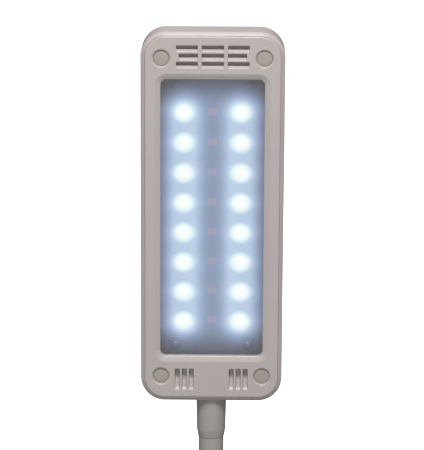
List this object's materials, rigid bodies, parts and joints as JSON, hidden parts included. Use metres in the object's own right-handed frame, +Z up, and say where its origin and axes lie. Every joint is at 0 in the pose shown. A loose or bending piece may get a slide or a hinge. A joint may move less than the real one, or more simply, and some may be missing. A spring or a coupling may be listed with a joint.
{
  "type": "dental operating light",
  "caption": "Slim rectangular dental operating light with two columns of LEDs behind a pane, on a sleeved flexible neck that swivels under the head and stands on a round screw-down foot.",
  "frame": {"origin": "centre of the foot flange's underside", "axes": "+Z up along the straight neck to the head, -Y the way the lit face looks, +X to the side"},
  "size_m": [0.09, 0.06, 0.5838],
  "materials": {
    "casing": "fine-grained warm grey",
    "plug": "smooth",
    "button": "smooth",
    "pane": "clear",
    "foam": "foam",
    "filter": "open-cell foam",
    "led_board": "blue-grey solder mask",
    "led": "clear dome over a white emitter",
    "heat_sink": "extruded",
    "steel": "zinc-plated",
    "core": "wound spring steel",
    "driver": "green solder mask",
    "black_plastic": "moulded",
    "lead": "insulated",
    "nylon": "natural",
    "neck_metal": "satin grey coating",
    "sleeve": "smooth satin",
    "cable": "smooth",
    "gland": "moulded"
  },
  "bodies": {
    "foot": {"foot_flange": "neck_metal", "foot_ferrule": "neck_metal", "cable_gland": "gland", "neck_sleeve": "sleeve", "supply_cable": "cable"},
    "neck_link_01": {"neck_core_01": "core"},
    "neck_link_02": {"neck_core_02": "core"},
    "neck_link_03": {"neck_core_03": "core"},
    "neck_link_04": {"neck_core_04": "core"},
    "neck_link_05": {"neck_core_05": "core"},
    "neck_link_06": {"neck_core_06": "core"},
    "neck_link_07": {"neck_core_07": "core"},
    "neck_link_08": {"neck_core_08": "core"},
    "neck_link_09": {"neck_core_09": "core"},
    "neck_link_10": {"neck_core_10": "core"},
    "neck_link_11": {"neck_core_11": "core"},
    "neck_top": {"neck_collar": "neck_metal", "swivel_washer": "nylon", "swivel_nut": "steel"},
    "head": {"rear_shell": "casing", "front_bezel": "casing", "window_pane": "pane", "pane_gasket": "foam", "vent_filter": "filter", "led_board": "led_board", "led_left_1": "led", "led_left_2": "led", "led_left_3": "led", "led_left_4": "led", "led_left_5": "led", "led_left_6": "led", "led_left_7": "led", "led_left_8": "led", "led_right_1": "led", "led_right_2": "led", "led_right_3": "led", "led_right_4": "led", "led_right_5": "led", "led_right_6": "led", "led_right_7": "led", "led_right_8": "led", "heat_sink": "heat_sink", "board_screw_1": "steel", "board_screw_2": "steel", "board_screw_3": "steel", "board_screw_4": "steel", "driver_board": "driver", "terminal_block": "black_plastic", "tact_switch": "black_plastic", "board_lead": "lead", "casing_screw_1": "steel", "casing_screw_2": "steel", "casing_screw_3": "steel", "casing_screw_4": "steel", "screw_plug_1": "plug", "screw_plug_2": "plug", "screw_plug_3": "plug", "screw_plug_4": "plug"},
    "power_button": {"power_button": "button"}
  },
  "joints": [
    {"name": "neck_bend_forward_1", "type": "hinge", "parent": "foot", "child": "neck_link_01", "pos_m": [0, 0, 0.0542], "axis": [1, 0, 0], "range_deg": [-10, 10], "deforming": ["neck_sleeve", "supply_cable"]},
    {"name": "neck_bend_side_1", "type": "hinge", "parent": "neck_link_01", "child": "neck_link_02", "pos_m": [0, 0, 0.0772], "axis": [0, 1, 0], "range_deg": [-10, 10]},
    {"name": "neck_bend_forward_2", "type": "hinge", "parent": "neck_link_02", "child": "neck_link_03", "pos_m": [0, 0, 0.1002], "axis": [1, 0, 0], "range_deg": [-10, 10]},
    {"name": "neck_bend_side_2", "type": "hinge", "parent": "neck_link_03", "child": "neck_link_04", "pos_m": [0, 0, 0.1232], "axis": [0, 1, 0], "range_deg": [-10, 10]},
    {"name": "neck_bend_forward_3", "type": "hinge", "parent": "neck_link_04", "child": "neck_link_05", "pos_m": [0, 0, 0.1462], "axis": [1, 0, 0], "range_deg": [-10, 10]},
    {"name": "neck_bend_side_3", "type": "hinge", "parent": "neck_link_05", "child": "neck_link_06", "pos_m": [0, 0, 0.1692], "axis": [0, 1, 0], "range_deg": [-10, 10]},
    {"name": "neck_bend_forward_4", "type": "hinge", "parent": "neck_link_06", "child": "neck_link_07", "pos_m": [0, 0, 0.1922], "axis": [1, 0, 0], "range_deg": [-10, 10]},
    {"name": "neck_bend_side_4", "type": "hinge", "parent": "neck_link_07", "child": "neck_link_08", "pos_m": [0, 0, 0.2152], "axis": [0, 1, 0], "range_deg": [-10, 10]},
    {"name": "neck_bend_forward_5", "type": "hinge", "parent": "neck_link_08", "child": "neck_link_09", "pos_m": [0, 0, 0.2382], "axis": [1, 0, 0], "range_deg": [-10, 10]},
    {"name": "neck_bend_side_5", "type": "hinge", "parent": "neck_link_09", "child": "neck_link_10", "pos_m": [0, 0, 0.2612], "axis": [0, 1, 0], "range_deg": [-10, 10]},
    {"name": "neck_bend_forward_6", "type": "hinge", "parent": "neck_link_10", "child": "neck_link_11", "pos_m": [0, 0, 0.2842], "axis": [1, 0, 0], "range_deg": [-10, 10]},
    {"name": "neck_bend_side_6", "type": "hinge", "parent": "neck_link_11", "child": "neck_top", "pos_m": [0, 0, 0.3072], "axis": [0, 1, 0], "range_deg": [-10, 10]},
    {"name": "head_swivel", "type": "hinge", "parent": "neck_top", "child": "head", "pos_m": [0, 0, 0.3451], "axis": [0, 0, 1], "range_deg": [-170, 170]},
    {"name": "power_button", "type": "slide", "parent": "head", "child": "power_button", "axis": [0, 1, 0], "range_m": [-0.0012, 0], "stiffness_N_per_m": 2500, "springref_m": 0.0004}
  ]
}
